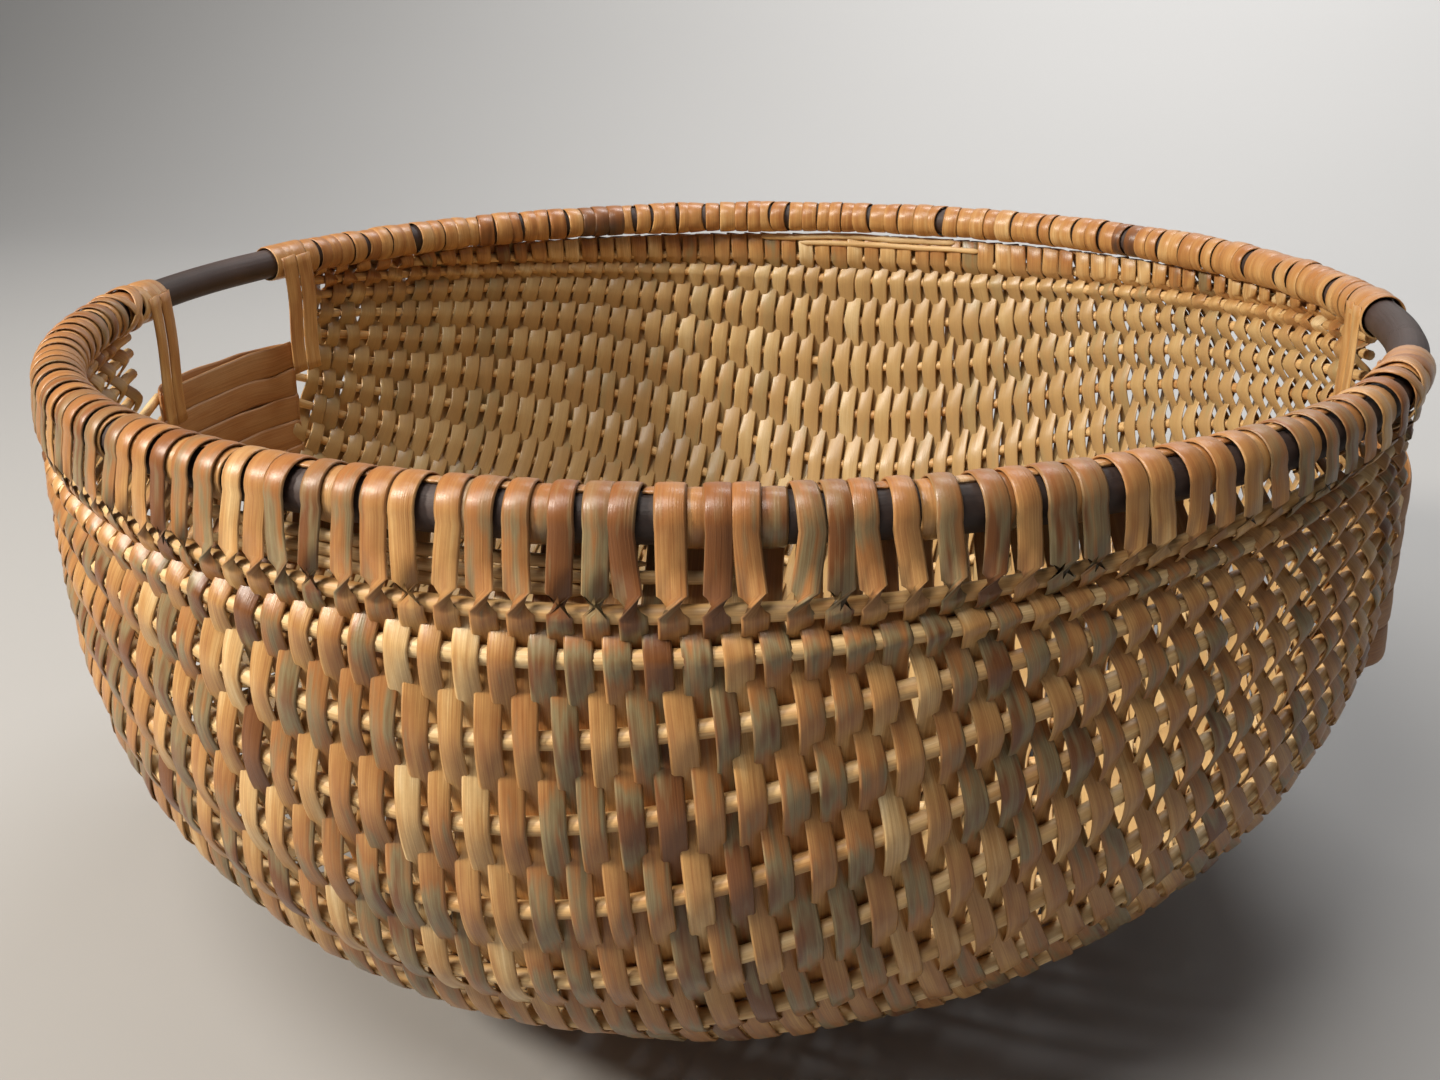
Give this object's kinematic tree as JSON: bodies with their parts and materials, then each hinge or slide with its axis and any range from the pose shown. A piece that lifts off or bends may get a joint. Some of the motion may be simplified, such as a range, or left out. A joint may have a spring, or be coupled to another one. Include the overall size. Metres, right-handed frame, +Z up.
{
  "type": "laundry basket",
  "caption": "Round rib basket: a stout rod hoop for a rim and two bare hand grips, reed ribs from grip to grip, and flat splints woven from rim to rim.",
  "frame": {"origin": "centre of the basket's footprint, on the surface that it stands on", "axes": "+Z up through the rim, +X from the left grip to the right grip, +Y from the front to the back"},
  "size_m": [0.6178, 0.6292, 0.2873],
  "materials": {
    "hoop_rod": "dark matte bark brown",
    "reed": "pale satin round reed",
    "splint": "honey to tan satin splint",
    "splint_wrap": "honey to brown satin splint",
    "splint_pale": "smooth pale satin splint",
    "splint_broad": "broad tan satin splint"
  },
  "bodies": {
    "root": {"rim_hoop": "hoop_rod", "rib_keel": "reed", "rib_front_1": "reed", "rib_front_2": "reed", "rib_front_3": "reed", "rib_front_4": "reed", "rib_front_5": "reed", "rib_front_6": "reed", "rib_front_7": "reed", "rib_front_8": "reed", "rib_front_9": "reed", "rib_front_10": "reed", "rib_front_11": "reed", "rib_front_12": "reed", "rib_front_13": "reed", "rib_back_1": "reed", "rib_back_2": "reed", "rib_back_3": "reed", "rib_back_4": "reed", "rib_back_5": "reed", "rib_back_6": "reed", "rib_back_7": "reed", "rib_back_8": "reed", "rib_back_9": "reed", "rib_back_10": "reed", "rib_back_11": "reed", "rib_back_12": "reed", "rib_back_13": "reed", "fillers_front": "reed", "fillers_back": "reed", "splints_1": "splint", "splints_2": "splint", "splints_3": "splint", "splints_4": "splint", "splints_5": "splint", "splints_6": "splint", "splints_7": "splint", "splints_8": "splint", "splints_9": "splint", "splints_10": "splint", "end_rows_left": "splint", "end_rows_right": "splint", "bands_left": "splint_broad", "bands_right": "splint_broad", "wraps_front": "splint_wrap", "wraps_back": "splint_wrap", "collar_left_front": "splint_pale", "collar_left_back": "splint_pale", "collar_right_front": "splint_pale", "collar_right_back": "splint_pale", "loop_left": "splint_pale", "loop_right": "splint_pale"}
  },
  "joints": []
}
